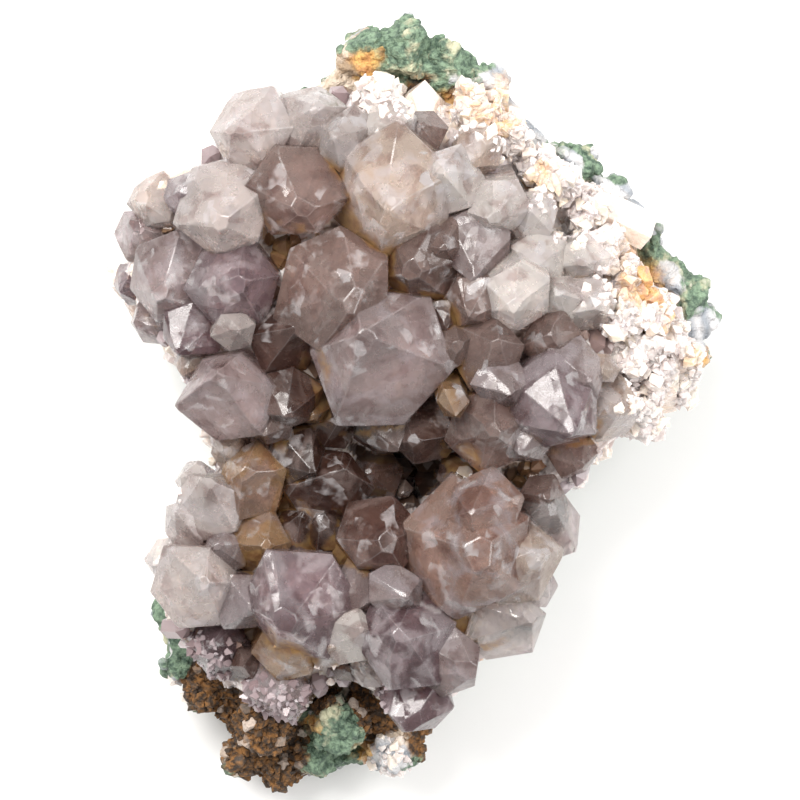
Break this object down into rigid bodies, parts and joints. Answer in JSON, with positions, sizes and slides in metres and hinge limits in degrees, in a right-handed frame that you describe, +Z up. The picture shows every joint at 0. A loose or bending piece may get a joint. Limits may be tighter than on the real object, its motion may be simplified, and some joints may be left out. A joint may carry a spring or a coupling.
{
  "type": "rough amethyst",
  "caption": "Rough amethyst: a hand-sized chunk of geode wall, pale lilac quartz crystals on a rind of agate, green skin and brown matrix.",
  "frame": {"origin": "centre of the bounding box's base, on the surface that the specimen lies on", "axes": "+Z up, the way the crystals point; +Y along the length, towards the broad upper lobe; +X to the right of it"},
  "size_m": [0.0742, 0.0949, 0.0435],
  "materials": {
    "amethyst": "gloss",
    "rind": "matte"
  },
  "bodies": {
    "root": {"amethyst_crystals": "amethyst", "matrix_rind": "rind"}
  },
  "joints": []
}
